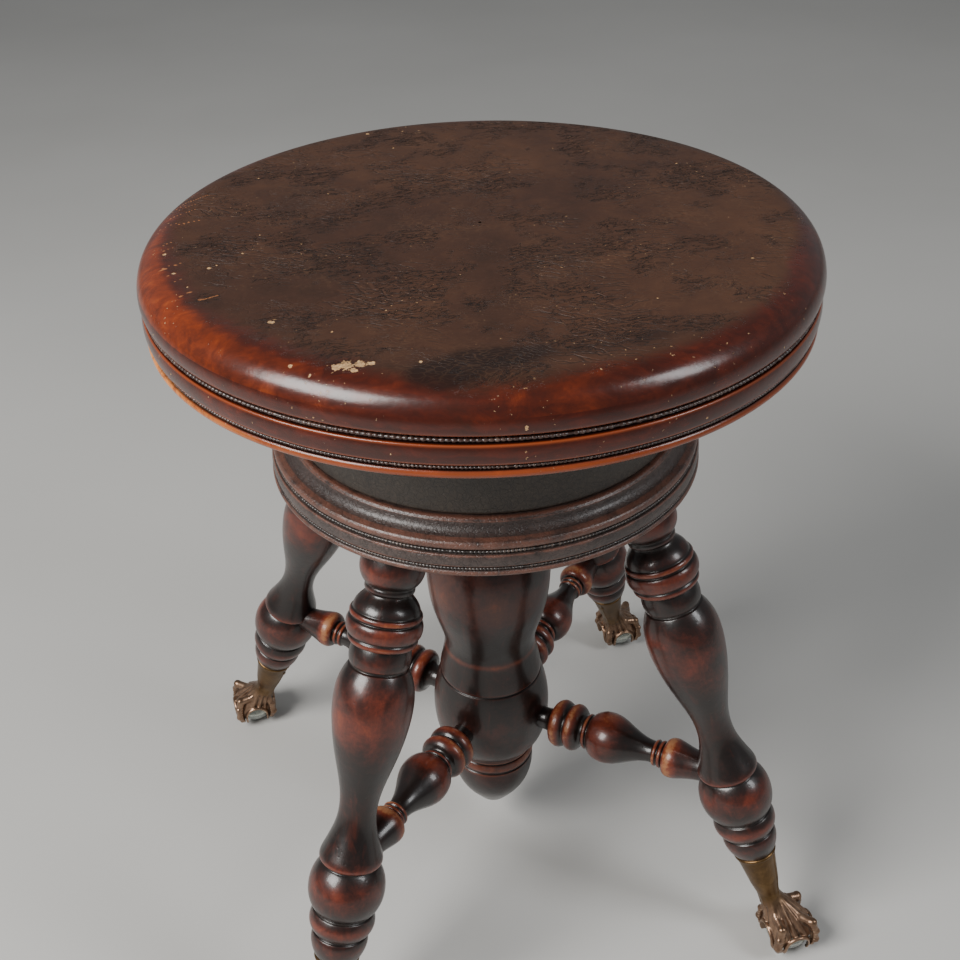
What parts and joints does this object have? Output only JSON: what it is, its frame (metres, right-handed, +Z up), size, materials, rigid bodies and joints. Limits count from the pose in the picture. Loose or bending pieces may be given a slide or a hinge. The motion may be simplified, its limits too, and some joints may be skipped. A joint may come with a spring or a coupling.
{
  "type": "revolving piano stool",
  "caption": "Revolving stool: round wooden seat on a lifting screw, turned column, splayed turned legs with stretchers and claw feet on glass balls.",
  "frame": {"origin": "on the floor, below the middle of the seat", "axes": "+Z up along the screw and the column, +Y to the back, legs at 45 degrees to X and Y"},
  "size_m": [0.356, 0.356, 0.4591],
  "materials": {
    "seat_wood": "worn satin lacquer over dark red-brown wood",
    "cap_wood": "dark, dry, slightly rough varnish",
    "turned_wood": "glossy dark varnish worn red-brown on the bulges",
    "bronze": "antique brass casting",
    "ball_glass": "clear greenish glass",
    "iron": "black cast iron",
    "steel": "oiled machined steel"
  },
  "bodies": {
    "base": {"nut_flange": "iron", "nut_screws": "steel", "base_cap": "cap_wood", "centre_column": "turned_wood", "leg_front_right": "turned_wood", "stretcher_front_right": "turned_wood", "claw_foot_front_right": "bronze", "glass_ball_front_right": "ball_glass", "leg_back_right": "turned_wood", "stretcher_back_right": "turned_wood", "claw_foot_back_right": "bronze", "glass_ball_back_right": "ball_glass", "leg_back_left": "turned_wood", "stretcher_back_left": "turned_wood", "claw_foot_back_left": "bronze", "glass_ball_back_left": "ball_glass", "leg_front_left": "turned_wood", "stretcher_front_left": "turned_wood", "claw_foot_front_left": "bronze", "glass_ball_front_left": "ball_glass", "foot_pins": "bronze"},
    "lift": {"stop_washer": "steel"},
    "seat": {"seat_top": "seat_wood", "seat_collar": "cap_wood", "collar_screws": "steel", "seat_spider": "iron", "spider_screws": "steel", "lift_screw": "steel", "spider_pin": "steel", "stop_pin": "steel"}
  },
  "joints": [
    {"name": "seat_rise", "type": "slide", "parent": "base", "child": "lift", "axis": [0, 0, 1], "range_m": [0, 0.1143]},
    {"name": "seat_turn", "type": "hinge", "parent": "lift", "child": "seat", "pos_m": [0, 0, 0.17], "axis": [0, 0, 1], "range_deg": [0, 6480]}
  ],
  "couplings": [
    {"joint": "seat_rise", "follows": "seat_turn", "m_per_rad": 0.0010106}
  ]
}
